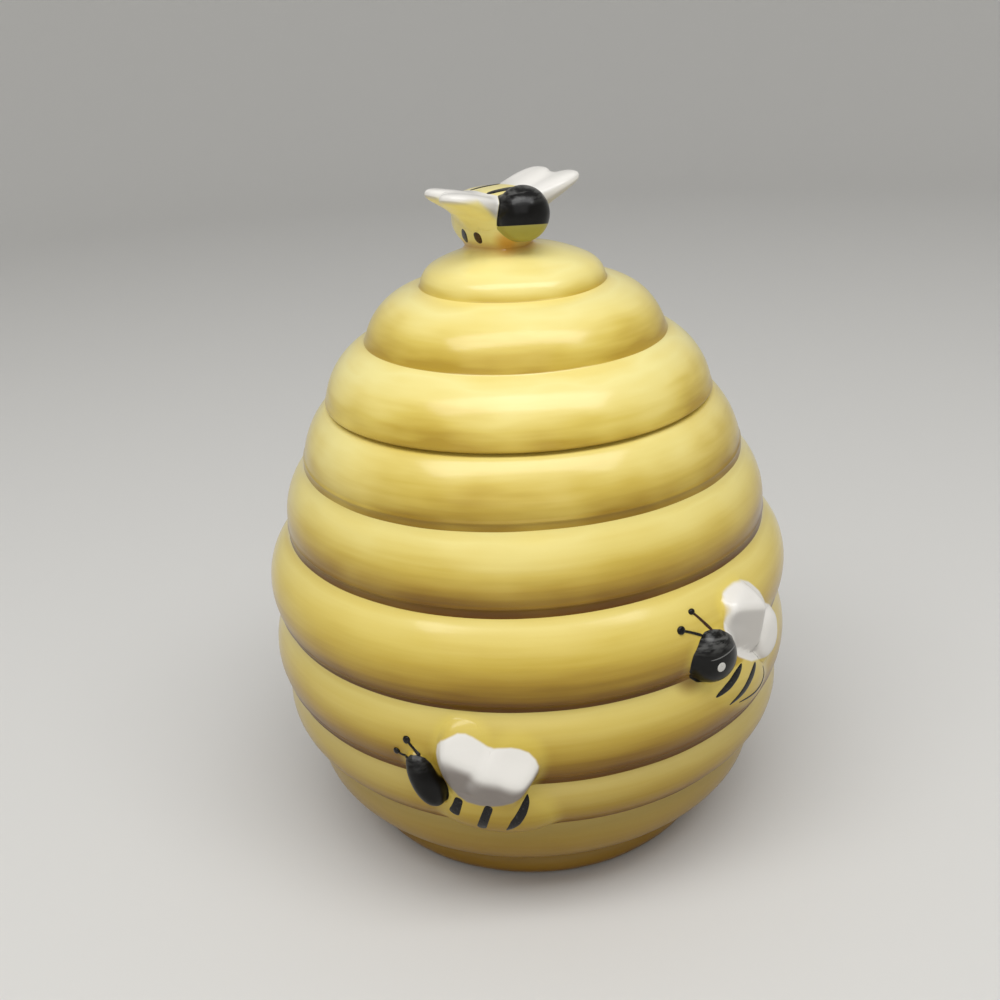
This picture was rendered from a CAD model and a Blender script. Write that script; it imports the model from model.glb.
from math import atan2, cos, hypot, pi, radians, sin
import bpy
import numpy as np
from mathutils import Matrix, Vector


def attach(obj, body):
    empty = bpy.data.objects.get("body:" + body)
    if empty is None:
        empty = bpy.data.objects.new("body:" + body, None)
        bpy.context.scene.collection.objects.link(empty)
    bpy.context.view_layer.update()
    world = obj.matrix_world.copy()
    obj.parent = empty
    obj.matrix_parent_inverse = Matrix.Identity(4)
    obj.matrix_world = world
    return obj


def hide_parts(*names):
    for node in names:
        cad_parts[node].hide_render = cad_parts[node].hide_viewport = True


# The jar's looks: coiled pot and lid, two bees in relief on the pot and one that is the lid's knob.
# Shapes are worked out in millimetres, round the jar's axis, and put into meshes in metres.
# Angles round the jar are in degrees from the front, -Y, towards +X.

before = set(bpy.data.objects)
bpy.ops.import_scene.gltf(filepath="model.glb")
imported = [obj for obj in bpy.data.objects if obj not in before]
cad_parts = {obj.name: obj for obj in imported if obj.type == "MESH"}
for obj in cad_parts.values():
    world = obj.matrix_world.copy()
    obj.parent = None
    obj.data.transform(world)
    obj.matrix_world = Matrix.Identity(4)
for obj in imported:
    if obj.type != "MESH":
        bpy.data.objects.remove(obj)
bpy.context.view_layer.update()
mm = 0.001
print("frame loaded:", len(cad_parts), "nodes")


# Camera, at the height and tilt that the photograph was taken from

cameraPlace = {"place": (-8.8, -395.4, 293.1), "tilt": 23.52, "roll": 3.29, "lens": 41.4, "sensor": 36.0}


def makeCamera(values):
    data = bpy.data.cameras.new("camera")
    data.lens, data.sensor_width = values["lens"], values["sensor"]
    data.clip_start, data.clip_end = 0.01, 30
    tilt = Matrix.Rotation(radians(90 - values["tilt"]), 4, "X")
    roll = Matrix.Rotation(radians(-values["roll"]), 4, "Z")  # about the line of sight
    camera = bpy.data.objects.new("camera", data)
    camera.matrix_world = Matrix.Translation([v * mm for v in values["place"]]) @ tilt @ roll
    bpy.context.scene.collection.objects.link(camera)
    bpy.context.scene.camera = camera


makeCamera(cameraPlace)


# Meshes from grids of points

def makeObject(name, points, faces, attributes=None, smooth=True):
    mesh = bpy.data.meshes.new(name)
    mesh.from_pydata((np.asarray(points, float) * mm).tolist(), [], faces)
    for key, values in (attributes or {}).items():
        attribute = mesh.attributes.new(key, "FLOAT", "POINT")
        attribute.data.foreach_set("value", np.asarray(values, np.float32))
    if smooth:
        mesh.polygons.foreach_set("use_smooth", np.ones(len(mesh.polygons), bool))
    mesh.update()
    made = bpy.data.objects.new(name, mesh)
    bpy.context.scene.collection.objects.link(made)
    return made


def gridFaces(rows, columns):
    # Quads between row i and i + 1 and column j and j + 1, the last column joined to the first,
    # and a fan of triangles to each pole, which are the two points after the grid.
    i, j = np.meshgrid(np.arange(rows - 1), np.arange(columns), indexing="ij")
    k = (j + 1) % columns
    quads = np.stack([i * columns + j, i * columns + k, (i + 1) * columns + k, (i + 1) * columns + j], -1)
    j = np.arange(columns)
    k = (j + 1) % columns
    last = (rows - 1) * columns
    first = np.stack([np.full(columns, rows * columns), k, j], -1)
    end = np.stack([np.full(columns, rows * columns + 1), last + j, last + k], -1)
    return quads.reshape(-1, 4).tolist() + first.tolist() + end.tolist()


def smoothStep(low, high, x):
    # 3t^2 - 2t^3, with t going from 0 at low to 1 at high
    t = np.clip((x - low) / (high - low), 0, 1)
    return t * t * (3 - 2 * t)


# The coils in section: radius and height along the outside, one arc over each coil

pot = {
    "coilHeights": [14.5, 25.0, 22.5, 26.5, 30.0, 25.0, 21.0],
    "creaseRadii": [65.5, 85.0, 92.5, 92.0, 86.5, 79.0, 69.0],
    "bulges": [5.5, 8.0, 5.0, 4.5, 6.5, 3.5, 2.5],
    "footRadius": 62.0,
    "footWidth": 9.0,
    "footRecess": 2.5,
    "wall": 5.5,
    "floor": 6.5,
    "mouth": 58.0,
    "edge": 1.4,
    "footEdges": [0.9, 0.8, 0.9],  # in the recess, and at the ring's inner and outer edge
    "floorCorner": 6.5,
    "lineSteps": [2.0, 0.3, 0.7],  # widest and smallest step of the outside, and the bend of the smallest
    "insideStep": 4.0,
    "creaseSoftness": [1.2, 1.2, 1.3, 1.5, 1.9, 1.8, 1.0],
    "ridgeAbove": 3.4,
    "ridgeHeight": 0.38,
    "ridgeWidth": 0.42,
}
lid = {
    "coilHeights": [21.5, 17.5],
    "creaseRadii": [53.0, 32.3],
    "bulges": [3.8, 4.6],
    "domeHeight": 13.6,
    "domeEdge": 8.0,
    "wall": 5.0,
    "clearance": 1.2,
    "flangeDepth": 9.0,
    "flangeWall": 4.5,
    "edge": 1.4,
    "seatRadius": 63.0,
    "seamGap": 1.3,
    "seamEdges": [0.5, 0.5],
    "flangeEdge": 1.5,
    "flangeRoot": 0.4,
    "lineSteps": [1.7, 0.42, 0.5],
    "domeStep": 0.55,
    "insideStep": 4.0,
    "creaseSoftness": [0.9, 0.8, 0.9],
}
rimHeight = sum(pot["coilHeights"])
potCreases = np.array([[pot["footRadius"], 0.0]]
                      + list(zip(pot["creaseRadii"], np.cumsum(pot["coilHeights"]))))
lidCreases = np.array([potCreases[-1].tolist()]
                      + list(zip(lid["creaseRadii"], rimHeight + np.cumsum(lid["coilHeights"]))))
domeTop = lidCreases[-1, 1] + lid["domeHeight"]


def arcThrough(low, high, bulge, count=60):
    # Points on the circle through two ends whose middle stands off their chord by the bulge
    low, high = np.asarray(low, float), np.asarray(high, float)
    chord = high - low
    length = hypot(*chord)
    along, out = chord / length, np.array([chord[1], -chord[0]]) / length
    radius = (length ** 2 / 4 + bulge ** 2) / (2 * bulge)
    half = np.arcsin(np.clip(length / 2 / radius, -1, 1))
    if bulge > length / 2:
        half = pi - half
    turn = np.linspace(-half, half, count)[:, None]
    middle = (low + high) / 2 + out * (bulge - radius)
    return middle + radius * (np.sin(turn) * along + np.cos(turn) * out)


def coilLine(creases, bulges):
    # The arcs one after the other, each from one crease to the next
    return np.concatenate([arcThrough(a, b, bulge) for a, b, bulge in zip(creases, creases[1:], bulges)])


def lengthAlong(line):
    # The distance from the line's start to each of its points
    return np.concatenate([[0], np.cumsum(np.hypot(*np.diff(line, axis=0).T))])


def pointsAt(line, along, at):
    # The line's points where a measure that grows along it has the wanted values
    return np.stack([np.interp(at, along, line[:, i]) for i in range(2)], 1)


def evenly(line, step):
    # The line again with points a step apart
    total = lengthAlong(line)
    return pointsAt(line, total, np.linspace(0, total[-1], max(int(total[-1] / step), 2)))


def softened(line, softness, step):
    # Each point becomes the bell-weighted mean of its neighbours, which rounds the creases
    reach = int(3 * softness / step)
    weights = np.exp(-0.5 * (np.arange(-reach, reach + 1) * step / softness) ** 2)
    weights /= weights.sum()
    padded = np.concatenate([2 * line[0] - line[reach:0:-1], line, 2 * line[-1] - line[-2:-reach - 2:-1]])
    return np.stack([np.convolve(padded[:, i], weights, "valid") for i in range(2)], 1)


def softenedAlong(line, softness, heights, step):
    # Two softened lines mixed by height, so that each crease gets a softness of its own
    fine, wide = softened(line, min(softness), step), softened(line, max(softness), step)
    wanted = np.interp(line[:, 1], heights, softness)
    share = ((wanted - min(softness)) / (max(softness) - min(softness) + 1e-9))[:, None]
    return fine + (wide - fine) * share


def inset(creases, distance):
    # Creases moved inwards, square to the line through their neighbours
    ahead = np.concatenate([creases[1:], creases[-1:]])
    behind = np.concatenate([creases[:1], creases[:-1]])
    run = ahead - behind
    run /= np.hypot(*run.T)[:, None]
    return creases + distance * np.stack([-run[:, 1], run[:, 0]], 1)


def roundedCorner(before, corner, after, radius, count=8):
    # A curve from before to after round a corner, touching both sides a radius away from it
    before, corner, after = (np.asarray(p, float) for p in (before, corner, after))
    start = corner + (before - corner) / hypot(*(before - corner)) * radius
    end = corner + (after - corner) / hypot(*(after - corner)) * radius
    t = np.linspace(0, 1, count)[:, None]
    return (1 - t) ** 2 * start + 2 * t * (1 - t) * corner + t ** 2 * end


fineStep = 0.2


def outsideLine(creases, bulges, softness, over=()):
    # The coils and what lies over them as one line, softened round its last creases, one value for each
    line = np.concatenate([coilLine(creases, bulges), np.reshape(over, (-1, 2))])
    return softenedAlong(evenly(line, fineStep), softness, creases[-len(softness):, 1], fineStep)


def domeLine():
    # A tight arc from the last crease, then a wide one over the top, one running into the other
    edgeRadius, edgeHeight = lidCreases[-1]
    tight, rise = lid["domeEdge"], lid["domeHeight"]
    reach = edgeRadius - tight
    crown = (reach ** 2 + rise ** 2 - tight ** 2) / (2 * (rise - tight))
    crownHeight = domeTop - crown
    turnEnd = atan2(edgeHeight - crownHeight, reach)
    turn = np.linspace(0, turnEnd, 40)
    edge = np.stack([reach + tight * np.cos(turn), edgeHeight + tight * np.sin(turn)], 1)
    turn = np.linspace(turnEnd, pi / 2, 80)[1:]
    over = np.stack([crown * np.cos(turn), crownHeight + crown * np.sin(turn)], 1)
    return np.concatenate([edge, over])


def withRidges(line, creases):
    # A low bell-shaped ridge along the line a little above each crease, square to the line
    total = lengthAlong(line)
    run = np.gradient(line, axis=0)
    run /= np.hypot(*run.T)[:, None]
    at = [total[np.argmin(np.hypot(*(line - c).T))] + pot["ridgeAbove"] for c in creases]
    ridge = sum(np.exp(-((total - a) / pot["ridgeWidth"]) ** 2) for a in at) * pot["ridgeHeight"]
    return line + ridge[:, None] * np.stack([run[:, 1], -run[:, 0]], 1)


potOutside = withRidges(outsideLine(potCreases, pot["bulges"], pot["creaseSoftness"]), potCreases[1:-1])
lidOutside = outsideLine(lidCreases, lid["bulges"], lid["creaseSoftness"], domeLine())


# Small unevenness of a hand-finished cast: the coils are never quite round

unevenness = {"seed": 7, "waves": 14, "coilSwell": 0.28, "creaseWander": 0.35, "skin": 0.07,
              "skinScale": 4.0}
rng = np.random.default_rng(unevenness["seed"])
waveTurns = rng.integers(1, 6, unevenness["waves"])
waveRise = rng.uniform(0.02, 0.11, unevenness["waves"])
wavePhase = rng.uniform(0, 2 * pi, (3, unevenness["waves"]))


def wander(angle, height, kind, scale=1.0):
    # Sum of sines round the jar and up it, each with its own turns, rise and phase, from about -1 to 1
    a = np.asarray(angle)[..., None] * waveTurns * scale
    h = np.asarray(height)[..., None] * waveRise * scale
    return np.sin(a + h + wavePhase[kind]).sum(-1) / np.sqrt(unevenness["waves"]) / 1.6


def roundTheJar(line, angles):
    # Each point of the line carried round the axis, with its small unevenness
    radius, height = line[:, 0][:, None], line[:, 1][:, None]
    angle = angles[None, :]
    v = unevenness
    radius = radius + v["coilSwell"] * wander(angle, height, 0) * np.clip(radius / 40, 0, 1)
    radius = radius + v["skin"] * wander(angle, height, 2, v["skinScale"]) * np.clip(radius / 40, 0, 1)
    height = height + v["creaseWander"] * wander(angle, height, 1) * smoothStep(3, 12, height)
    return np.stack([radius * np.sin(angle), -radius * np.cos(angle), height], -1)


def denseAngles(dense, fine, coarse):
    # Angles once round, closer together inside the given spans
    edges = sorted({-180.0, 180.0, *[e for span in dense for e in span]})
    pieces = []
    for low, high in zip(edges, edges[1:]):
        step = fine if any(a <= low and high <= b for a, b in dense) else coarse
        count = max(int(round((high - low) / step)), 1)
        pieces.append(low + np.arange(count) * (high - low) / count)
    return np.radians(np.concatenate(pieces))


def thinned(line, coarse, fine, sharp):
    # Fewer points where the line is nearly straight: steps from coarse to fine as its bend grows to sharp
    run = np.gradient(line, axis=0)
    heading = np.unwrap(np.arctan2(run[:, 1], run[:, 0]))
    bend = np.abs(np.gradient(heading)) / fineStep
    step = np.interp(bend, [0, sharp], [coarse, fine])
    count = np.concatenate([[0], np.cumsum(fineStep / step)])[:-1]
    return pointsAt(line, count, np.linspace(0, count[-1], int(count[-1]) + 1))


def awayFrom(line, point, distance):
    # The line without its points that are nearer than this to a point
    return line[np.hypot(*(line - point).T) > distance]


# Fields: about how far a point lies outside a shape, in millimetres, less than nothing inside it

def lineBetween(line, low, high):
    # The line's points between two heights
    return line[(line[:, 1] >= low) & (line[:, 1] <= high)]


def asCurve(line, across, along):
    # The line's across coordinate and slope as functions of its along coordinate
    order = np.maximum.accumulate(line[:, along])
    keep = np.concatenate([[True], np.diff(order) > 1e-6])
    x, y = order[keep], line[keep, across]
    return x, y, np.gradient(y, x)


potCurve = asCurve(potOutside, 0, 1)
domeCurve = asCurve(lidOutside[lidOutside[:, 1] > lidCreases[-1, 1] + 0.5][::-1], 1, 0)


def aroundJar(points):
    # Angle round the jar from the front, and distance from its axis
    return np.arctan2(points[..., 0], -points[..., 1]), np.hypot(points[..., 0], points[..., 1])


def potRadius(angle, height):
    # The outside's radius at an angle and a height, with its unevenness
    v = unevenness
    level = height - v["creaseWander"] * wander(angle, height, 1) * smoothStep(3, 12, height)
    swell = v["coilSwell"] * wander(angle, level, 0) + v["skin"] * wander(angle, level, 2, v["skinScale"])
    return np.interp(level, potCurve[0], potCurve[1]) + swell


def outsidePot(points):
    # Distance from the axis less the pot's radius at that angle and height, shortened where the wall leans
    angle, radius = aroundJar(points)
    slope = np.interp(points[..., 2], potCurve[0], potCurve[2])
    return (radius - potRadius(angle, points[..., 2])) / np.sqrt(1 + np.clip(slope, -1.5, 1.5) ** 2)


def outsideDome(points):
    # Height over the dome, shortened where the dome slopes
    angle, radius = aroundJar(points)
    wave = unevenness["creaseWander"] * wander(angle, points[..., 2], 1)
    top = np.interp(radius, domeCurve[0], domeCurve[1]) + wave
    slope = np.interp(radius, domeCurve[0], domeCurve[2])
    return (points[..., 2] - top) / np.sqrt(1 + np.clip(slope, -2, 2) ** 2)


def blended(a, b, width):
    # The smaller of two distances, made smaller still where they are alike, which rounds the corner between
    share = np.clip(1 - np.abs(a - b) / width, 0, None)
    return np.minimum(a, b) - share ** 2 * width / 4


def rawEllipsoid(local, half, power):
    # With k the power mean of x/a, y/b and z/c: k - 1 divided by the steepness of k
    scaled = np.abs(local) / half + 1e-9
    k = (scaled ** power).sum(-1) ** (1 / power)
    steep = np.sqrt(((scaled ** (power - 1) / half) ** 2).sum(-1)) * k ** (1 - power)
    return (k - 1) / steep


def formDistance(form, points):
    # An ellipsoid in the form's own axes, with its underside deeper towards the root where it is a wedge,
    # and cut by its facets, each a plane, with the edges between them rounded
    local = (points - form["middle"]) @ form["axes"].T
    if form["wedge"]:
        along = np.clip(0.5 - local[..., 0] / form["half"][0] / 2, 0, 1)
        depth = np.where(local[..., 2] < 0, 1 + form["wedge"] * along ** 2, 1)
        local = np.stack([local[..., 0], local[..., 1], local[..., 2] / depth], -1)
    distance = rawEllipsoid(local, form["half"], form["power"])
    for normal, offset in form["facets"]:
        distance = -blended(-distance, -(points @ normal - offset), form["edge"])
    return distance


def makeForm(name, middle, axes, half, **more):
    # A form's place, own axes, half sizes and how it is shaped, joined and painted
    form = {"name": name, "middle": np.array(middle, float), "axes": np.array(axes, float),
            "half": np.array(half, float), "power": 2.0, "wedge": 0.0, "facets": [], "edge": 3.0,
            "fillet": 3.0, "join": 1.6, "paint": "yellow"}
    form.update(more)
    return form


def bodyField(forms, carrier, points):
    # All forms and what carries them as one skin. The fillet's width is that of the nearest form.
    distances = np.stack([formDistance(form, points) for form in forms])
    weights = np.exp(-np.clip(distances - distances.min(0), 0, 20) / 0.8)
    fillets = np.array([form["fillet"] for form in forms]).reshape(-1, *[1] * (distances.ndim - 1))
    fillet = (weights * fillets).sum(0) / weights.sum(0)
    together = distances[0]
    for form, distance in zip(forms[1:], distances[1:]):
        together = blended(together, distance, form["join"])
    return blended(together, carrier(points), fillet)


def steepest(field, points, step=0.02):
    # The direction in which the field grows fastest, from differences along four corners of a tetrahedron
    corners = np.array([[1, -1, -1], [-1, -1, 1], [-1, 1, -1], [1, 1, 1]], float)
    total = sum(corner * field(points + corner * step)[..., None] for corner in corners)
    return total / np.maximum(np.linalg.norm(total, axis=-1, keepdims=True), 1e-9)


# Points stay where they are from "deep" inside a neighbour, and move all the way from "shallow"
skin = {"deep": -2.2, "shallow": -0.6, "behind": 1.4, "sunk": 0.3, "steps": 6}


def ontoSkin(points, own, others, field):
    # Points of one piece moved out to the common skin where they aren't deep inside a neighbour, and sunk
    # a little under it where a neighbour is nearer, so that each piece shows only its own share
    share = smoothStep(skin["deep"], skin["shallow"], others(points))
    moved = points
    for _ in range(skin["steps"]):
        moved = moved - (np.minimum(field(moved), 0.0) * share)[..., None] * steepest(field, moved)
    behind = smoothStep(0.0, skin["behind"], own(moved) - others(moved))
    return moved - (skin["sunk"] * behind * share)[..., None] * steepest(field, moved)


# The bees in relief. Angle and height are the middle of a form, off its stand-off from the line from
# crease to crease, lean the turn of its long axis from level, and thick its depth out of the wall.

frontBee = {
    "body": {"angle": -9.6, "height": 51.3, "off": -1.4, "length": 38.0, "width": 21.6, "thick": 18.0,
             "lean": -3.0, "power": 2.2, "fillet": 5.0, "paint": "yellow"},
    "fore_wing": {"angle": -14.8, "height": 69.7, "off": -0.4, "length": 32.1, "width": 18.0, "thick": 21.6,
                  "lean": 94.6, "power": 2.5, "fillet": 2.4, "paint": "white",
                  "facetAt": (-10.5, 68.7), "facets": [(20, 8.8, 8.5), (-22, -9.8, 8.3)]},
    "hind_wing": {"angle": -7.0, "height": 67.2, "off": 0.2, "length": 29.6, "width": 17.3, "thick": 20.0,
                  "lean": 60.0, "power": 2.5, "fillet": 2.2, "paint": "white", "join": 4.0,
                  "facetAt": (-10.5, 68.7), "facets": [(20, 8.8, 8.0), (-22, -9.8, 8.1)]},
    "head": {"angle": -23.2, "height": 63.0, "off": 2.8, "length": 21.8, "width": 9.8, "thick": 13.6,
             "lean": -66.0, "power": 2.1, "fillet": 1.2, "paint": "black", "join": 0.9},
}
sideBee = {
    "body": {"angle": 45.6, "height": 80.6, "off": -2.0, "length": 34.0, "width": 20.0, "thick": 18.4,
             "lean": -34.0, "power": 2.2, "fillet": 5.0, "paint": "yellow"},
    "hind_wing": {"angle": 55.2, "height": 88.8, "off": 0.0, "length": 20.0, "width": 18.4, "thick": 17.0,
                  "lean": 101.0, "power": 2.5, "fillet": 2.2, "paint": "white",
                  "facets": [(2, 0, 7.0)]},
    "fore_wing": {"angle": 45.5, "height": 99.8, "off": 0.9, "length": 27.8, "width": 17.2, "thick": 26.0,
                  "lean": 97.0, "power": 4.0, "fillet": 2.2, "paint": "white", "join": 1.0,
                  "facets": [(-14, -14, 6.4), (45, 10, 12.8)], "edge": 1.8},
    "head": {"angle": 36.8, "height": 95.4, "off": 1.4, "length": 22.0, "width": 18.8, "thick": 19.2,
             "lean": 126.0, "power": 2.1, "fillet": 1.4, "paint": "black", "join": 0.9},
}


paintReach, skinReach = 9, 20  # past this a distance to paint's edge or to a skin doesn't matter

# The edges of the brushed colours, as angles and heights on the pot
frontOutlines = {
    "white": [(-20.2, 69.4), (-20.3, 74.2), (-19.9, 77.7), (-18.9, 80.1), (-17.5, 81.6), (-15.7, 83.1),
              (-14.2, 83.0), (-12.8, 81.9), (-11.5, 80.4), (-10.3, 78.7), (-9.0, 78.0), (-7.5, 78.3),
              (-5.8, 78.5), (-4.2, 78.0), (-2.5, 76.8), (-1.3, 74.3), (-0.8, 71.6), (-1.0, 68.7),
              (-1.8, 66.8), (-3.0, 63.9), (-4.4, 60.3), (-6.0, 58.0), (-8.0, 56.3), (-9.9, 55.4),
              (-12.4, 55.2), (-15.1, 55.6), (-17.0, 57.2), (-18.2, 60.5), (-19.1, 64.7)],
    "black": [(-27.0, 68.0), (-26.4, 70.8), (-25.4, 72.4), (-24.1, 72.4), (-22.8, 71.3), (-21.8, 69.3),
              (-21.0, 66.6), (-20.1, 63.5), (-19.3, 60.5), (-18.9, 56.8), (-19.2, 54.6), (-20.4, 53.9),
              (-21.6, 54.6), (-22.9, 56.6), (-24.2, 59.4), (-25.3, 62.4), (-26.3, 65.4)],
}
sideOutlines = {
    "white": [(40.6, 112.2), (41.8, 113.8), (43.6, 114.3), (46.1, 114.6), (48.6, 114.0), (51.0, 111.8),
              (53.5, 107.0), (55.6, 101.0), (57.8, 98.6), (59.4, 95.2), (60.4, 90.5), (60.2, 85.4),
              (57.9, 82.9), (54.1, 82.6), (51.2, 83.2), (47.2, 86.0), (43.6, 90.2), (41.1, 96.4),
              (38.7, 101.3), (39.0, 103.4), (40.0, 108.8)],
    "black": [(34.0, 105.8), (35.8, 105.9), (37.9, 104.7), (39.6, 102.5), (41.1, 100.2), (42.1, 97.2),
              (42.3, 94.2), (41.0, 91.3), (38.8, 89.2), (37.0, 87.4), (35.2, 86.2), (33.4, 86.6),
              (31.8, 88.9), (30.9, 92.6), (30.6, 96.4), (30.9, 99.4), (31.9, 102.0), (32.8, 104.2)],
}


def facetPlanes(middle, out, across, facets):
    # Each facet's plane: its normal is outwards turned up by a tilt and along the pot by a swing
    planes = []
    for tilt, swing, stand in facets:
        t, w = radians(tilt), radians(swing)
        normal = cos(t) * (cos(w) * out + sin(w) * across) + np.array([0, 0, sin(t)])
        planes.append((normal, middle @ normal + stand))
    return planes


def onWall(angle, height, off):
    # The place off the line from crease to crease, with the directions outwards and along the pot there
    out, across = np.array([sin(angle), -cos(angle), 0]), np.array([cos(angle), sin(angle), 0])
    radius = np.interp(height, potCreases[:, 1], potCreases[:, 0]) + off
    return radius * out + np.array([0, 0, height]), out, across


def reliefForms(bee, values):
    # The forms of a bee on the pot, each with its long axis turned from level by its lean
    forms = []
    for part, v in values.items():
        lean = radians(v["lean"])
        middle, out, across = onWall(radians(v["angle"]), v["height"], v["off"])
        long = across * cos(lean) + np.array([0, 0, sin(lean)])
        facetAngle, facetHeight = v.get("facetAt", (v["angle"], v["height"]))
        facetPlace = onWall(radians(facetAngle), facetHeight, v["off"])
        forms.append(makeForm(bee + "_" + part, middle, [long, np.cross(out, long), out],
                              [v["length"] / 2, v["width"] / 2, v["thick"] / 2], power=v["power"],
                              fillet=v["fillet"], paint=v["paint"], edge=v.get("edge", 2.4),
                              join=v.get("join", 1.6),
                              facets=facetPlanes(*facetPlace, v.get("facets", []))))
    return forms


frontForms = reliefForms("front_bee", frontBee)
sideForms = reliefForms("side_bee", sideBee)


# The knob bee, in its own directions: forward, left and up of the middle of its body

knobBee = {
    "heading": -53.0,
    "middle": (-5.8, 1.0, 225.0),
    "bodyHalf": (17.9, 10.3, 10.3),
    "bodyPower": 2.4,
    "headMiddle": (17.0, -0.5, 3.3),
    "headHalf": (8.9, 8.9, 9.1),
    "foreRoot": (3.2, 6.0, 1.8),
    "foreTip": {"left": (11.8, 28.0, 12.4), "right": (11.4, 26.8, 11.0)},
    "hindRoot": (-0.8, 6.0, 1.6),
    "hindTip": {"left": (-1.6, 24.6, 13.2), "right": (-2.8, 24.0, 11.2)},
    "foreWidth": 15.5,
    "hindWidth": 14.5,
    "wingThickness": 5.8,
    "wingPower": 2.6,
    "wingWedge": 4.0,
    "wingJoin": 4.0,
    "whiteEdge": (-2.5, 2.2),  # height of the white's lower edge beside the body, left and right
    "whiteRise": (0.7, 0.8),  # how much higher it is for each millimetre outwards
    "whiteTop": (5.5, 9.4),  # and its highest
    "whiteFrom": 9.0,  # where beside the body the edge begins to rise
    "whiteSoft": 0.35,
    "rubbed": 0.8,
    "rubbedBetween": (231.5, 236.5),
    "chinUp": (0.0, 0.165, 0.986),
    "chin": 3.7,
}


def knobForms(v):
    # The forms of the knob bee: the wings' long axes run from root to tip, each side with tips of its own
    turn = radians(v["heading"])
    axes = np.array([[cos(turn), sin(turn), 0], [-sin(turn), cos(turn), 0], [0, 0, 1]])
    middle = np.array(v["middle"])
    forms = [makeForm("knob_bee_body", middle, axes, v["bodyHalf"], power=v["bodyPower"], fillet=3.4)]
    for side, sideName in ((1, "left"), (-1, "right")):
        for wing in ("fore", "hind"):
            root = np.array(v[wing + "Root"]) * (1, -side, 1) @ axes
            tip = np.array(v[wing + "Tip"][sideName]) * (1, side, 1) @ axes
            long = (tip - root) / np.linalg.norm(tip - root)
            across = np.cross(axes[2], long)
            across /= np.linalg.norm(across)
            forms.append(makeForm(
                "knob_bee_" + sideName + "_" + wing + "_wing", middle + (root + tip) / 2,
                [long, across, np.cross(long, across)],
                [np.linalg.norm(tip - root) / 2, v[wing + "Width"] / 2, v["wingThickness"] / 2],
                power=v["wingPower"], wedge=v["wingWedge"], fillet=3.0, join=v["wingJoin"], paint="white"))
    forms.append(makeForm("knob_bee_head", middle + np.array(v["headMiddle"]) @ axes, axes, v["headHalf"],
                          fillet=1.5, join=0.9, paint="black"))
    return forms


beeOnLid = knobForms(knobBee)


# Meshes of the forms, each a ball of directions with its poles along the way it faces

def ballPoints(form, columns=112, rows=64, spread=0.55):
    # Rays from the form's middle, closer together towards the outside, followed to where its field is zero
    t = np.arange(1, rows) / rows
    polar = pi * (t + spread * np.sin(pi * t) * (t - 1) * 0.5)
    turn = np.arange(columns) / columns * 2 * pi
    local = np.stack([np.sin(polar)[:, None] * np.cos(turn), np.sin(polar)[:, None] * np.sin(turn),
                      np.cos(polar)[:, None] + 0 * turn], -1) * form["half"]
    local = np.concatenate([local.reshape(-1, 3), [[0, 0, form["half"][2]], [0, 0, -form["half"][2]]]])
    rays = (local / np.linalg.norm(local, axis=1, keepdims=True)) @ form["axes"]
    length = np.full(len(rays), 0.3 * form["half"].min())
    for _ in range(40):
        length = length - 0.9 * formDistance(form, form["middle"] + rays * length[:, None])
    return form["middle"] + rays * length[:, None], rows - 1, columns


def closedFaces(points, rows, columns):
    # The grid's faces, turned round if the volume that they close comes out less than nothing
    faces = gridFaces(rows, columns)
    corners = np.array([face[:3] for face in faces])
    a, b, c = (points[corners[:, i]] for i in range(3))
    return faces if (a * np.cross(b, c)).sum() > 0 else [face[::-1] for face in faces]


def insideOutline(outline, angle, height):
    # Distance in millimetres to a closed outline on the unrolled pot, more than nothing inside it
    scale = radians(97.0)  # millimetres to a degree at the pot's widest
    p = np.stack([np.degrees(angle) * scale, height], -1)[..., None, :]
    a = np.array(outline, float) * [scale, 1]
    b = np.roll(a, -1, 0)
    run = b - a
    share = np.clip(((p - a) * run).sum(-1) / (run ** 2).sum(-1), 0, 1)
    away = np.sqrt((((p - a) - share[..., None] * run) ** 2).sum(-1)).min(-1)
    level = (a[:, 1] > p[..., 1]) != (b[:, 1] > p[..., 1])
    crossed = level & (p[..., 0] < a[:, 0] + (p[..., 1] - a[:, 1]) * run[:, 0] / (run[:, 1] + 1e-12))
    return np.where(crossed.sum(-1) % 2 == 1, away, -away)


def jarBeePaint(outlines, wornFrom, wornTo, worn):
    # Brushed outlines for white and black, and how far the black is rubbed thin towards the head's top
    def paint(points):
        angle, _ = aroundJar(points)
        white, black = (insideOutline(outlines[key], angle, points[..., 2]) for key in ("white", "black"))
        chin = np.full(len(points), float(-paintReach))
        return white, black, worn * smoothStep(wornFrom, wornTo, points[..., 2]), chin
    return paint


def knobPaint(points):
    # White down to an edge that drops from the wings' tips to their roots, black over the chin's line
    v = knobBee
    distances = {form["name"]: formDistance(form, points) for form in beeOnLid}
    inside = {paint: np.min([distances[f["name"]] for f in beeOnLid if f["paint"] == paint], 0)
              for paint in ("white", "black", "yellow")}
    ground = outsideDome(points)
    local = (points - v["middle"]) @ beeOnLid[0]["axes"].T
    start, rise, top = (np.where(local[..., 1] > 0, *v[key])
                        for key in ("whiteEdge", "whiteRise", "whiteTop"))
    edge = local[..., 2] - np.minimum(start + rise * (np.abs(local[..., 1]) - v["whiteFrom"]), top)
    white = np.minimum(inside["yellow"], np.minimum(inside["black"], ground)) - inside["white"]
    white = np.minimum(white, edge * v["whiteSoft"])
    rest = np.minimum(np.minimum(inside["white"], inside["yellow"]), ground)
    chin = (points - beeOnLid[-1]["middle"]) @ np.array(v["chinUp"]) + v["chin"]
    head = rest - inside["black"]
    worn = v["rubbed"] * smoothStep(*v["rubbedBetween"], points[..., 2])
    return white, np.minimum(head, chin), worn, np.minimum(head, -chin)


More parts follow.
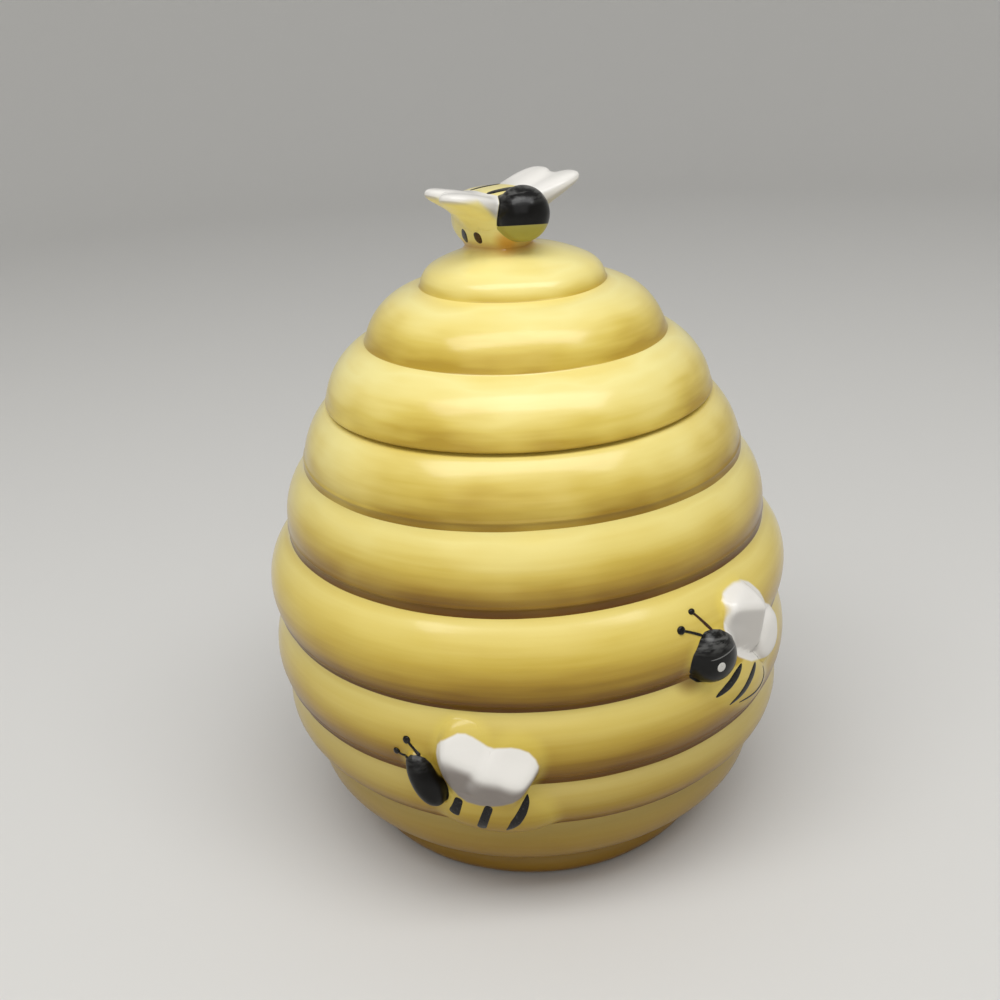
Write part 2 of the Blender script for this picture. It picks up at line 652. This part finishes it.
def creaseDistances(line, creases, aboveLast=skinReach):
    # How far along the section each point is above the crease below it and below the one above it
    total = lengthAlong(line)
    at = np.array([total[np.argmin(np.hypot(*(line - c).T))] for c in creases])[:, None]
    low, high = (np.where(v >= 0, v, np.inf).min(0) for v in (total - at, at - total))
    return np.minimum(low, skinReach), np.where(np.isinf(high), aboveLast, np.minimum(high, skinReach))


def placesAt(line, creases, heights):
    # The distances above and below the nearest creases, as they are on the line at these heights
    low, high = creaseDistances(line, creases)
    level = np.maximum.accumulate(line[:, 1])
    return np.interp(heights, level, low), np.interp(heights, level, high)


glazeOnForms = (16, 10)  # the distances from creases that a raised form's glaze takes its tone from


def limited(distances, most=paintReach):
    # Distances for paint, cut off where they no longer matter
    return np.clip(distances, -paintReach, most)


def makeBee(forms, carrier, paint, body, keepIn):
    # Each form as a piece of its own, moved onto the common skin, with its paint
    for form in forms:
        points, rows, columns = ballPoints(form)
        own = lambda p, form=form: formDistance(form, p)
        rest = [other for other in forms if other is not form]
        others = lambda p, rest=rest: np.minimum(np.min([formDistance(o, p) for o in rest], 0), carrier(p))
        field = lambda p: bodyField(forms, carrier, p)
        points = keepIn(ontoSkin(points, own, others, field))
        white, black, worn, chin = paint(points)
        ground = carrier(points)
        low, high = placesAt(potOutside, potCreases, points[:, 2])
        raised = 0.7 * smoothStep(0.5, 4.5, ground) if body == "jar" else np.ones(len(points))
        formLow, formHigh = glazeOnForms
        piece = makeObject(form["name"] + "_form", points, closedFaces(points, rows, columns), {
            "white": limited(white), "black": limited(black), "chin": limited(chin), "worn": worn,
            "near": limited(ground, skinReach), "outside": np.ones(len(points)),
            "fromLow": low + (formLow - low) * raised, "fromHigh": high + (formHigh - high) * raised})
        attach(piece, body)
        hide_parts(form["name"])
        form["paint"] + "_glaze"
        piece.data.materials.append(glazeMaterial)
        print("made", piece.name)


def keepInWall(points):
    # Nothing goes more than a little way into the pot's wall: points deeper than that move straight out
    angle, radius = aroundJar(points)
    least = potRadius(angle, points[:, 2]) + skin["deep"]
    grow = np.maximum(least / np.maximum(radius, 1e-6), 1)
    return points * np.stack([grow, grow, np.ones(len(grow))], 1)


def keepInDome(points):
    # Nothing goes more than a little way into the lid: points deeper than that move straight up
    deep = np.minimum(outsideDome(points) - skin["deep"], 0)
    return points - np.stack([0 * deep, 0 * deep, deep], 1)


# Sections of the pot and the lid, from pole to pole

def straight(a, b, step):
    # Points from a to b, evenly and about a step apart
    count = max(int(hypot(b[0] - a[0], b[1] - a[1]) / step), 1)
    return np.linspace(a, b, count + 1)


def joined(*runs):
    # Runs of a section end to end, with what covers each: 1 coloured glaze, 0 pale glaze, -1 bare clay
    return (np.concatenate([line for line, _ in runs]),
            np.concatenate([np.full(len(line), float(cover)) for line, cover in runs]))


def potSection():
    # Up the foot ring and the outside, over the rim into the mouth, down the wall and to the floor's middle
    edge, recess, mouth = pot["edge"], pot["footRecess"], pot["mouth"]
    floorHeight, underRim = recess + pot["floor"], rimHeight - pot["wall"]
    footInner = pot["footRadius"] - pot["footWidth"]
    footTop, footIn, footOut = (footInner, recess), (footInner, 0), (pot["footRadius"], 0)
    line = thinned(potOutside, *pot["lineSteps"])
    top = np.array([line[-1, 0], rimHeight])
    line = awayFrom(line, top, edge)
    under = np.concatenate([
        straight((0, recess), (footInner - 1.2, recess), 6),
        roundedCorner((0, recess), footTop, footIn, pot["footEdges"][0]),
        roundedCorner(footTop, footIn, footOut, pot["footEdges"][1]),
        roundedCorner(footIn, footOut, line[4], pot["footEdges"][2]),
    ])
    line = awayFrom(line, footOut, 1.0)
    inner = inset(potCreases, pot["wall"])[1:]
    wall = lineBetween(coilLine(inner, pot["bulges"][1:]), 0, underRim)[::-1]
    wall = evenly(wall, pot["insideStep"])
    rimTop, rimUnder = (mouth, rimHeight), (mouth, underRim)
    rim = np.concatenate([
        roundedCorner(line[-1], top, rimTop, edge),
        roundedCorner(top, rimTop, rimUnder, edge),
        roundedCorner(rimTop, rimUnder, wall[0] + [1, 0], edge),
    ])
    corner, middle = (inner[0, 0], floorHeight), (0, floorHeight)
    inside = np.concatenate([wall, roundedCorner(inner[0], corner, middle, pot["floorCorner"]),
                             straight((inner[0, 0] - 8, floorHeight), middle, 8)])
    return joined((under, -1), (line, 1), (rim, 1), (inside, 0))


def lidSection():
    # Down the dome's inside and the flange's bore, round the flange, out along the seam and up the outside
    edge, seat = lid["edge"], rimHeight + lid["wall"]
    flangeOut = pot["mouth"] - lid["clearance"]
    bore, flangeLow = flangeOut - lid["flangeWall"], rimHeight - lid["flangeDepth"]
    split = lidOutside[:, 1] > lidCreases[-1, 1] + 1
    dome = evenly(lidOutside[split], lid["domeStep"])
    low = lidCreases[0]
    line = awayFrom(thinned(lidOutside[~split], *lid["lineSteps"]), low, lid["seamGap"] + edge * 0.8)
    inner = inset(lidCreases, lid["wall"])
    apex = domeTop - lid["wall"]
    crown = (inner[-1, 0] ** 2 + (apex - inner[-1, 1]) ** 2) / (2 * (apex - inner[-1, 1]))
    turn = np.linspace(0, np.arcsin(inner[-1, 0] / crown), 8)
    cap = np.stack([crown * np.sin(turn), apex - crown + crown * np.cos(turn)], 1)
    wall = evenly(lineBetween(coilLine(inner, lid["bulges"]), seat, 400)[::-1], lid["insideStep"])
    boreTop, boreLow = (bore, seat), (bore, flangeLow)
    outTop, outLow = (flangeOut, rimHeight), (flangeOut, flangeLow)
    seatEdge, gapHeight = (lid["seatRadius"], rimHeight), rimHeight + lid["seamGap"]
    gapStart, gapEnd = (lid["seatRadius"] + 1.0, gapHeight), (low[0] + 0.3, gapHeight)
    inside = np.concatenate([
        cap, wall[1:],
        roundedCorner(wall[-1], boreTop, boreLow, lid["flangeEdge"]),
        roundedCorner(boreTop, boreLow, outLow, lid["flangeEdge"]),
        roundedCorner(boreLow, outLow, outTop, lid["flangeEdge"]),
        roundedCorner(outLow, outTop, low, lid["flangeRoot"]),
        roundedCorner(outTop, seatEdge, gapStart, lid["seamEdges"][0]),
    ])
    seam = np.concatenate([roundedCorner(seatEdge, gapStart, gapEnd, lid["seamEdges"][1]),
                           roundedCorner(gapStart, gapEnd, line[0], edge)])
    return joined((inside, 0), (seam, 1), (line, 1), (dome, 1))


def makeTurned(name, section, creases, topPlace, angles, forms, carrier, body, node):
    # The section turned round the axis, moved onto the common skin where forms stand on it, with its paint
    line, outside = section
    fromLow, fromHigh = creaseDistances(line, creases, topPlace)
    grid = roundTheJar(line[1:-1], angles)
    rows, columns = grid.shape[:2]
    points = np.concatenate([grid.reshape(-1, 3), [[0, 0, line[0, 1]], [0, 0, line[-1, 1]]]])
    spreadOut = lambda v: np.concatenate([np.repeat(v[1:-1], columns), v[[0, -1]]])
    near, worn = np.full(len(points), float(skinReach)), np.zeros(len(points))
    white, black = np.full((2, len(points)), float(-paintReach))
    shell = spreadOut(outside) > 0.5
    for group, paint in forms:
        others = lambda p: np.min([formDistance(form, p) for form in group], 0)
        chosen = np.flatnonzero(shell & (others(points) < 10))
        moved = ontoSkin(points[chosen], carrier, others, lambda p: bodyField(group, carrier, p))
        points[chosen] = moved
        near[chosen] = np.minimum(near[chosen], others(moved))
        w, b, worn[chosen], _ = paint(moved)
        white[chosen], black[chosen] = np.maximum(white[chosen], w), np.maximum(black[chosen], b)
    piece = makeObject(name, points, closedFaces(points, rows, columns), {
        "white": limited(white), "black": limited(black), "chin": np.full(len(points), -paintReach),
        "worn": worn, "near": limited(near, skinReach), "outside": spreadOut(outside),
        "fromLow": spreadOut(fromLow), "fromHigh": spreadOut(fromHigh)})
    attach(piece, body)
    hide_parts(node)
    piece.data.materials.append(glazeMaterial)
    print("made", name, rows, "by", columns)


# Painted strokes: thin closed lenses of enamel that follow the skin

def onSkin(points, field, steps=6):
    # Newton's steps to where the field is zero, along its own slope
    for _ in range(steps):
        points = points - field(points)[..., None] * steepest(field, points)
    return points


def strokePoints(path, widths, raised, blunt, field, rows=34, columns=20):
    # A cubic by chord length through the path. The width's share at s is the root of 1 - |2s - 1|^blunt,
    # and each ring is a flat lens: w/2 cos(turn) across the stroke, raised sin(turn) out of the skin.
    path = np.array(path, float)
    chord = np.concatenate([[0], np.cumsum(np.linalg.norm(np.diff(path, axis=0), axis=1))])
    chord /= chord[-1]
    s = (1 - np.cos(np.linspace(0, pi, rows + 2))) / 2
    power = min(3, len(path) - 1)
    curve = np.stack([np.polyval(np.polyfit(chord, path[:, i], power), s) for i in range(3)], 1)
    curve = onSkin(curve, field)
    across = np.cross(steepest(field, curve), np.gradient(curve, axis=0))
    across /= np.linalg.norm(across, axis=1, keepdims=True)
    cap = np.sqrt(1 - np.abs(2 * s - 1) ** blunt)
    turn = np.arange(columns) / columns * 2 * pi
    spread = (cap * np.interp(s, chord, widths) / 2)[1:-1, None] * np.cos(turn)
    flat = onSkin(curve[1:-1, None] + spread[..., None] * across[1:-1, None], field)
    lift = raised * np.sqrt(cap[1:-1, None]) * np.sin(turn)
    ring = flat + lift[..., None] * steepest(field, flat)
    return np.concatenate([ring.reshape(-1, 3), curve[[0, -1]]]), rows, columns


def makeStrokes(bee, values, forms, carrier, body):
    field = lambda p: bodyField(forms, carrier, p)
    for name, v in values.items():
        points, rows, columns = strokePoints(v["path"], v["widths"], v.get("raised", 0.16),
                                             v.get("blunt", 6), field)
        piece = makeObject(bee + "_" + name, points, closedFaces(points, rows, columns))
        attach(piece, body)
        piece.data.materials.append(enamels[v.get("paint", "black")])
    print("made", len(values), "strokes of the", bee)


def spot(middle, radius, raised=0.9):
    # A round stroke: as long as it is wide
    x, y, z = middle
    return {"path": [(x, y, z - radius), (x, y, z + radius)], "widths": [2 * radius] * 2, "raised": raised,
            "blunt": 2}


# Shader maths as expressions

class Shade:
    def __init__(self, tree, socket):
        self.tree, self.socket = tree, socket

    def node(self, kind, settings=None, inputs=None, output=0):
        made = self.tree.nodes.new("ShaderNode" + kind)
        for key, value in (settings or {}).items():
            if key == "stops":  # of a ramp: place and colour of each
                ramp = made.color_ramp
                while len(ramp.elements) < len(value):
                    ramp.elements.new(0.5)
                for element, (position, colour) in zip(ramp.elements, value):
                    element.position, element.color = position, colour
            else:
                setattr(made, key, value)
        for key, value in (inputs or {}).items():
            if isinstance(value, Shade):
                self.tree.links.new(value.socket, made.inputs[key])
            else:
                made.inputs[key].default_value = value
        return Shade(self.tree, made.outputs[output] if made.outputs else None)

    def math(self, operation, *values):
        return self.node("Math", {"operation": operation}, dict(enumerate(values)))

    def __add__(self, other):
        return self.math("ADD", self, other)

    def __radd__(self, other):
        return self.math("ADD", other, self)

    def __sub__(self, other):
        return self.math("SUBTRACT", self, other)

    def __rsub__(self, other):
        return self.math("SUBTRACT", other, self)

    def __mul__(self, other):
        return self.math("MULTIPLY", self, other)

    def __rmul__(self, other):
        return self.math("MULTIPLY", other, self)

    def __truediv__(self, other):
        return self.math("DIVIDE", self, other)

    def __rtruediv__(self, other):
        return self.math("DIVIDE", other, self)

    def step(self, low, high):
        # 3t^2 - 2t^3, with t going from 0 at low to 1 at high
        return self.node("MapRange", {"interpolation_type": "SMOOTHSTEP"},
                         {"Value": self, "From Min": low, "From Max": high})

    def mix(self, a, b):
        # Colour a where this is 0, b where it is 1
        return self.node("Mix", {"data_type": "RGBA"}, {0: self, 6: a, 7: b}, 2)


def blankMaterial(name):
    material = bpy.data.materials.new(name)
    material.use_nodes = True
    material.node_tree.nodes.clear()
    return material, Shade(material.node_tree, None)


def srgb(red, green, blue):
    # Display colour from 0 to 255 as light: ((c + 0.055) / 1.055) to the power 2.4
    c = np.array([red, green, blue]) / 255
    return (*np.where(c < 0.04045, c / 12.92, ((c + 0.055) / 1.055) ** 2.4).tolist(), 1.0)


glaze = {
    "pot": [(0.0, srgb(92, 56, 8)), (0.12, srgb(108, 72, 12)), (0.21, srgb(140, 104, 20)),
            (0.34, srgb(176, 142, 42)), (0.5, srgb(203, 174, 68)), (0.68, srgb(222, 199, 102)),
            (0.86, srgb(232, 213, 124)), (1.0, srgb(224, 200, 100))],
    "lid": [(0.0, srgb(186, 154, 56)), (0.1, srgb(204, 175, 72)), (0.28, srgb(223, 199, 98)),
            (0.5, srgb(238, 219, 130)), (0.8, srgb(245, 232, 154)), (1.0, srgb(240, 221, 132))],
    "paleFrom": 0.112,
    "paleTo": 0.176,
    "deep": srgb(116, 78, 8),
    "deepMost": 0.84,
    "deepTop": 0.112,
    "shadeLow": 0.07,  # how much higher the dark of the undersides reaches low on the pot
    "halo": srgb(226, 205, 92),
    "inside": srgb(232, 216, 150),
    "bisque": srgb(226, 214, 190),
    "white": srgb(236, 233, 227),
    "whiteBelow": srgb(200, 196, 191),  # white on faces turned down, and the same low on the pot
    "whiteLow": srgb(142, 134, 128),
    "chinTint": srgb(166, 158, 76),
    "black": srgb(9, 8, 7),
    "rubbed": srgb(96, 96, 94),
    "amber": srgb(196, 134, 20),
    "amberHeight": 0.21,
    "pools": [((-0.0015, -0.0142, 0.2198), 0.0065, srgb(204, 138, 22)),  # place, reach and colour of each
              ((0.0491, -0.0794, 0.0895), 0.008, srgb(132, 92, 22))],
    "coatRoughness": 0.17,
    "ior": 1.45,
}


def makeGlaze(name, v):
    # Thin pale glaze on top of each coil, thicker and darker to its underside, pooled in the creases,
    # deeper low on the pot; brushed white and black over it; bare clay under the foot
    material, start = blankMaterial(name)
    attribute = lambda key: start.node("Attribute", {"attribute_name": key}, output=2)
    place = start.node("TexCoord", output=3)
    noise = lambda scale, detail, stretch=(1, 1, 1): start.node(
        "TexNoise", None, {"Vector": start.node("Mapping", None, {"Vector": place, "Scale": stretch}),
                           "Scale": scale, "Detail": detail}) - 0.5
    streaks = noise(1.0, 3.0, (16, 16, 520))
    strokes = noise(1.0, 2.0, (34, 34, 190))
    patches = noise(24.0, 2.0)
    low, high, near = attribute("fromLow"), attribute("fromHigh"), attribute("near")
    white, black, worn, outside = (attribute(key) for key in ("white", "black", "worn", "outside"))
    up = start.node("SeparateXYZ", None, {"Vector": place}, 2)
    rise = low / (low + high + 0.01) + streaks * 0.15 + strokes * 0.12 + patches * 0.18
    rise = rise - (1 - up.step(0.075, 0.105)) * v["shadeLow"]
    dark = start.node("ValToRGB", {"stops": v["pot"]}, {"Fac": rise})
    pale = start.node("ValToRGB", {"stops": v["lid"]}, {"Fac": rise + strokes * 0.35 + patches * 0.7})
    colour = (up + patches * 0.03).step(v["paleFrom"], v["paleTo"]).mix(dark, pale)
    lowDown = 1 - up.step(0.0, v["deepTop"])
    colour = (lowDown * v["deepMost"]).mix(colour, v["deep"])
    onLid = (up - v["amberHeight"]).step(0.0, 0.002)
    colour = ((1 - near.step(0.0, 4.0)) * (1 - onLid) * 0.35).mix(colour, v["halo"])
    colour = ((1 - near.step(0.0, 4.5)) * onLid * 0.8).mix(colour, v["amber"])
    for where, reach, tint in v["pools"]:
        away = start.node("VectorMath", {"operation": "DISTANCE"}, {0: place, 1: where}, 1)
        away = away + patches * 0.004
        colour = ((1 - away.step(0.2 * reach, reach)) * 0.75).mix(colour, tint)
    colour = outside.step(-0.2, 0.2).mix(v["bisque"], outside.step(0.4, 0.6).mix(v["inside"], colour))
    facing = start.node("SeparateXYZ", None, {"Vector": start.node("NewGeometry", output=1)}, 2)
    below = up.step(0.066, 0.088).mix(v["whiteLow"], v["whiteBelow"])
    chalk = (facing.step(-0.36, 0.1) * up.step(0.0575, 0.062)).mix(below, v["white"])
    colour = attribute("chin").step(-0.1, 0.1).mix(colour, v["chinTint"])
    colour = (white + strokes * 0.3).step(-0.35, 0.5).mix(colour, chalk)
    painted = (black + strokes * 0.12).step(-0.1, 0.1)
    scratches = noise(1.0, 4.0, (260, 260, 900)).step(-0.12, 0.16)
    colour = painted.mix(colour, (worn * scratches).mix(v["black"], v["rubbed"]))
    shine = outside.step(-0.6, -0.1)
    pooling = 1 - (low / 5).step(0.0, 1.0)
    coat = shine * (0.7 - pooling * 0.3 - painted * 0.3 - lowDown * 0.35)
    dimples = noise(230.0, 2.0)
    brushed = noise(1.0, 2.0, (60, 60, 700))
    bump = start.node("Bump", None, {"Strength": 0.25, "Distance": 0.0002,
                                     "Height": dimples + brushed * 0.5})
    shader = start.node("BsdfPrincipled", None, {
        "Base Color": colour, "Roughness": 0.62 - shine * 0.34 + worn * painted * 0.1, "Normal": bump,
        "Coat Weight": coat * facing.step(-0.75, 0.25),
        "Coat Roughness": v["coatRoughness"], "IOR": v["ior"], "Specular IOR Level": 0.12})
    shader.node("OutputMaterial", None, {"Surface": shader})
    return material


enamelColours = {"black": srgb(10, 8, 7), "pale": srgb(206, 204, 198), "grey": srgb(104, 104, 102),
                 "brown": srgb(60, 34, 20)}


def makeEnamel(name, colour):
    # Thick brushed enamel: a little lighter where the brush has dragged it thin
    material, start = blankMaterial(name)
    place = start.node("TexCoord", output=3)
    drag = start.node("TexNoise", None, {"Vector": place, "Scale": 900.0, "Detail": 3.0}) - 0.5
    thin = tuple(c * 0.75 + 0.03 for c in colour[:3]) + (1.0,)
    bump = start.node("Bump", None, {"Strength": 0.3, "Distance": 0.0001, "Height": drag})
    shader = start.node("BsdfPrincipled", None, {
        "Base Color": (drag * 2.0).step(0.1, 0.5).mix(colour, thin), "Roughness": 0.3 + drag * 0.2,
        "Normal": bump, "Coat Weight": 0.3, "Coat Roughness": 0.12, "Specular IOR Level": 0.15})
    shader.node("OutputMaterial", None, {"Surface": shader})
    return material


enamels = {key: makeEnamel(key + "_enamel", colour) for key, colour in enamelColours.items()}
glazeMaterial = makeGlaze("poured_glaze", glaze)


frontStrokes = {
    "stripe_1": {"path": [(-27.7, -92.3, 56.6), (-28.6, -91.8, 53.7), (-29.9, -90.9, 49.8)],
                 "widths": [2.9, 3.5, 4.1], "blunt": 10},
    "stripe_2": {"path": [(-17.9, -95.8, 55.5), (-19.4, -95.0, 51.0), (-21.1, -92.7, 44.7)],
                 "widths": [2.9, 3.0, 3.3], "blunt": 12},
    "stripe_3": {"path": [(-5.3, -95.3, 59.2), (-5.9, -96.1, 56.5), (-7.7, -96.4, 52.7),
                          (-9.8, -96.0, 48.5), (-12.9, -94.3, 44.6)],
                 "widths": [1.3, 2.5, 3.2, 3.3, 1.2], "blunt": 5},
    "feeler_1": {"path": [(-43.2, -86.6, 76.8), (-41.3, -87.6, 74.3), (-39.1, -89.2, 72.0)],
                 "widths": [0.9, 1.0, 1.5], "raised": 0.45},
    "feeler_2": {"path": [(-46.9, -84.5, 71.4), (-45.2, -85.1, 70.3), (-43.1, -88.8, 71.4)],
                 "widths": [0.8, 0.9, 1.2], "raised": 0.4},
    "feeler_1_tip": spot((-43.2, -86.6, 76.8), 1.35),
    "feeler_2_tip": spot((-46.9, -84.5, 71.4), 1.2),
}
sideStrokes = {
    "stripe_1": {"path": [(67.9, -71.0, 88.3), (65.4, -73.8, 85.7), (62.1, -76.0, 82.5),
                          (58.1, -77.5, 79.9)], "widths": [1.6, 3.0, 3.0, 1.6], "blunt": 5},
    "stripe_2": {"path": [(73.8, -64.5, 84.4), (71.7, -68.8, 82.1), (68.5, -71.9, 78.2),
                          (63.4, -74.0, 74.3)], "widths": [2.0, 3.0, 2.8, 1.4], "blunt": 5},
    "stripe_3": {"path": [(77.7, -59.7, 79.8), (78.0, -60.4, 75.6), (75.3, -64.2, 73.8),
                          (71.1, -68.4, 73.1), (67.2, -71.3, 73.2)],
                 "widths": [1.0, 1.3, 1.3, 1.1, 0.7], "blunt": 6},
    "feeler_1": {"path": [(45.5, -82.7, 108.9), (49.2, -81.3, 107.1), (53.1, -79.8, 104.8)],
                 "widths": [0.9, 0.85, 1.1], "raised": 0.45},
    "feeler_2": {"path": [(49.5, -77.9, 112.8), (52.7, -77.9, 109.5), (56.4, -77.6, 105.5)],
                 "widths": [0.8, 0.95, 1.3], "raised": 0.4, "paint": "brown"},
    "feeler_1_tip": spot((45.5, -82.7, 109.0), 1.5),
    "feeler_2_tip": spot((49.5, -77.9, 112.8), 1.2),
    "eye": {"path": [(58.6, -82.8, 96.4), (58.6, -82.8, 94.8), (58.7, -82.5, 92.9)],
            "widths": [3.0, 3.0, 3.0], "blunt": 2.2, "paint": "pale", "slot": "white_glaze"},
    "face_line": {"path": [(54.9, -83.6, 97.8), (58.7, -82.5, 98.3), (61.8, -80.0, 98.8),
                           (65.1, -74.3, 98.1)],
                  "widths": [0.35, 0.4, 0.4, 0.35], "raised": 0.12, "paint": "grey"},
}


def onKnob(x, y, z):
    # A point given forwards, left and up of the middle of the knob bee's body
    return tuple(np.array(knobBee["middle"]) + np.array([x, y, z]) @ beeOnLid[0]["axes"])


knobStrokes = {
    "stripe_1": {"path": [onKnob(-3.0, y, z) for y, z in ((-6.5, 9.5), (0, 10.3), (6.5, 9.8))],
                 "widths": [1.6, 2.0, 1.4]},
    "stripe_2": {"path": [onKnob(6.6, y, z) for y, z in ((-6.8, 8.8), (0, 10.0), (6.8, 9.2))],
                 "widths": [2.4, 3.2, 2.6]},
    "stripe_3": {"path": [onKnob(-12.0, y, z) for y, z in ((-5.5, 7.4), (0, 8.4), (5.5, 7.4))],
                 "widths": [1.2, 1.8, 1.2]},
    "dot_1": {"path": [(-15.7, -4.8, 222.7), (-15.4, -0.6, 217.9)], "widths": [3.3, 3.3], "blunt": 2.6},
    "dot_2": {"path": [(-11.6, -10.3, 222.5), (-10.7, -8.2, 218.5)], "widths": [3.3, 3.3], "blunt": 2.6,
              "paint": "brown"},
}


# The pieces

denseSpans = [(-36.0, 10.0), (22.0, 68.0)]
potAngles = denseAngles(denseSpans, 0.68, 2.0)
frontPaint = jarBeePaint(frontOutlines, 66.0, 73.0, 0.35)
sidePaint = jarBeePaint(sideOutlines, 98.0, 103.5, 0.9)
beesOnPot = [(frontForms, frontPaint), (sideForms, sidePaint)]
makeTurned("coiled_pot", potSection(), potCreases[:-1], 17.0, potAngles, beesOnPot, outsidePot,
           "jar", "jar_body")
lidAngles = denseAngles([], 1.0, 1.2)
makeTurned("coiled_lid", lidSection(), lidCreases, 5.0, lidAngles, [(beeOnLid, knobPaint)], outsideDome,
           "lid", "lid_shell")
makeBee(frontForms, outsidePot, frontPaint, "jar", keepInWall)
makeBee(sideForms, outsidePot, sidePaint, "jar", keepInWall)
makeBee(beeOnLid, outsideDome, knobPaint, "lid", keepInDome)
makeStrokes("front_bee", frontStrokes, frontForms, outsidePot, "jar")
makeStrokes("side_bee", sideStrokes, sideForms, outsidePot, "jar")
makeStrokes("knob_bee", knobStrokes, beeOnLid, outsideDome, "lid")


# Floor, backdrop, lamps

stage = {"paper": srgb(222, 221, 218), "flat": 1.5, "bend": 0.9, "wall": 2.4, "sky": 0.36}


def makeStage(v):
    # A flat round floor whose edge bends up into a wall all round: radius and height along a quarter turn
    turn = np.linspace(0, pi / 2, 16)
    line = np.concatenate([[[0.3, 0]], np.stack([v["flat"] + v["bend"] * np.sin(turn),
                                                 v["bend"] * (1 - np.cos(turn))], 1),
                           [[v["flat"] + v["bend"], v["wall"]]]])
    angles = np.linspace(0, 2 * pi, 96, endpoint=False)
    points = np.stack([line[:, :1] * np.cos(angles), line[:, :1] * np.sin(angles),
                       line[:, 1:] + 0 * angles], -1).reshape(-1, 3)
    points = np.concatenate([points, [[0, 0, 0]]])
    faces = [f for f in gridFaces(len(line), 96) if max(f) < len(points)]
    floor = makeObject("floor", points / mm, faces)
    material = bpy.data.materials.new("floor_paper")
    material.use_nodes = True
    shader = material.node_tree.nodes["Principled BSDF"]
    shader.inputs["Base Color"].default_value = v["paper"]
    shader.inputs["Roughness"].default_value = 0.7
    floor.data.materials.append(material)
    world = bpy.data.worlds.new("world")
    world.use_nodes = True
    back = world.node_tree.nodes["Background"]
    back.inputs["Color"].default_value = (1, 1, 1, 1)
    back.inputs["Strength"].default_value = v["sky"]
    bpy.context.scene.world = world


lamps = {
    "overhead": {"place": (0.0, -0.50, 1.35), "aim": (0, 0, 0.1), "size": (2.1, 0.55), "power": 15.6},
    "front": {"place": (-0.3, -1.7, 1.3), "aim": (0, 0, 0.1), "size": (2.4, 1.6), "power": 7.2},
}


def makeLamps(values):
    for name, v in values.items():
        data = bpy.data.lights.new(name, "AREA")
        data.shape, data.energy = "RECTANGLE", v["power"]
        data.size, data.size_y = v["size"]
        lamp = bpy.data.objects.new(name, data)
        lamp.location = v["place"]
        toward = np.array(v["aim"]) - np.array(v["place"])
        lamp.rotation_mode = "QUATERNION"
        lamp.rotation_quaternion = Vector(toward.tolist()).to_track_quat("-Z", "Y")
        bpy.context.scene.collection.objects.link(lamp)


makeStage(stage)
makeLamps(lamps)
bpy.context.scene.view_settings.view_transform = "Standard"
print("stage and lamps set")
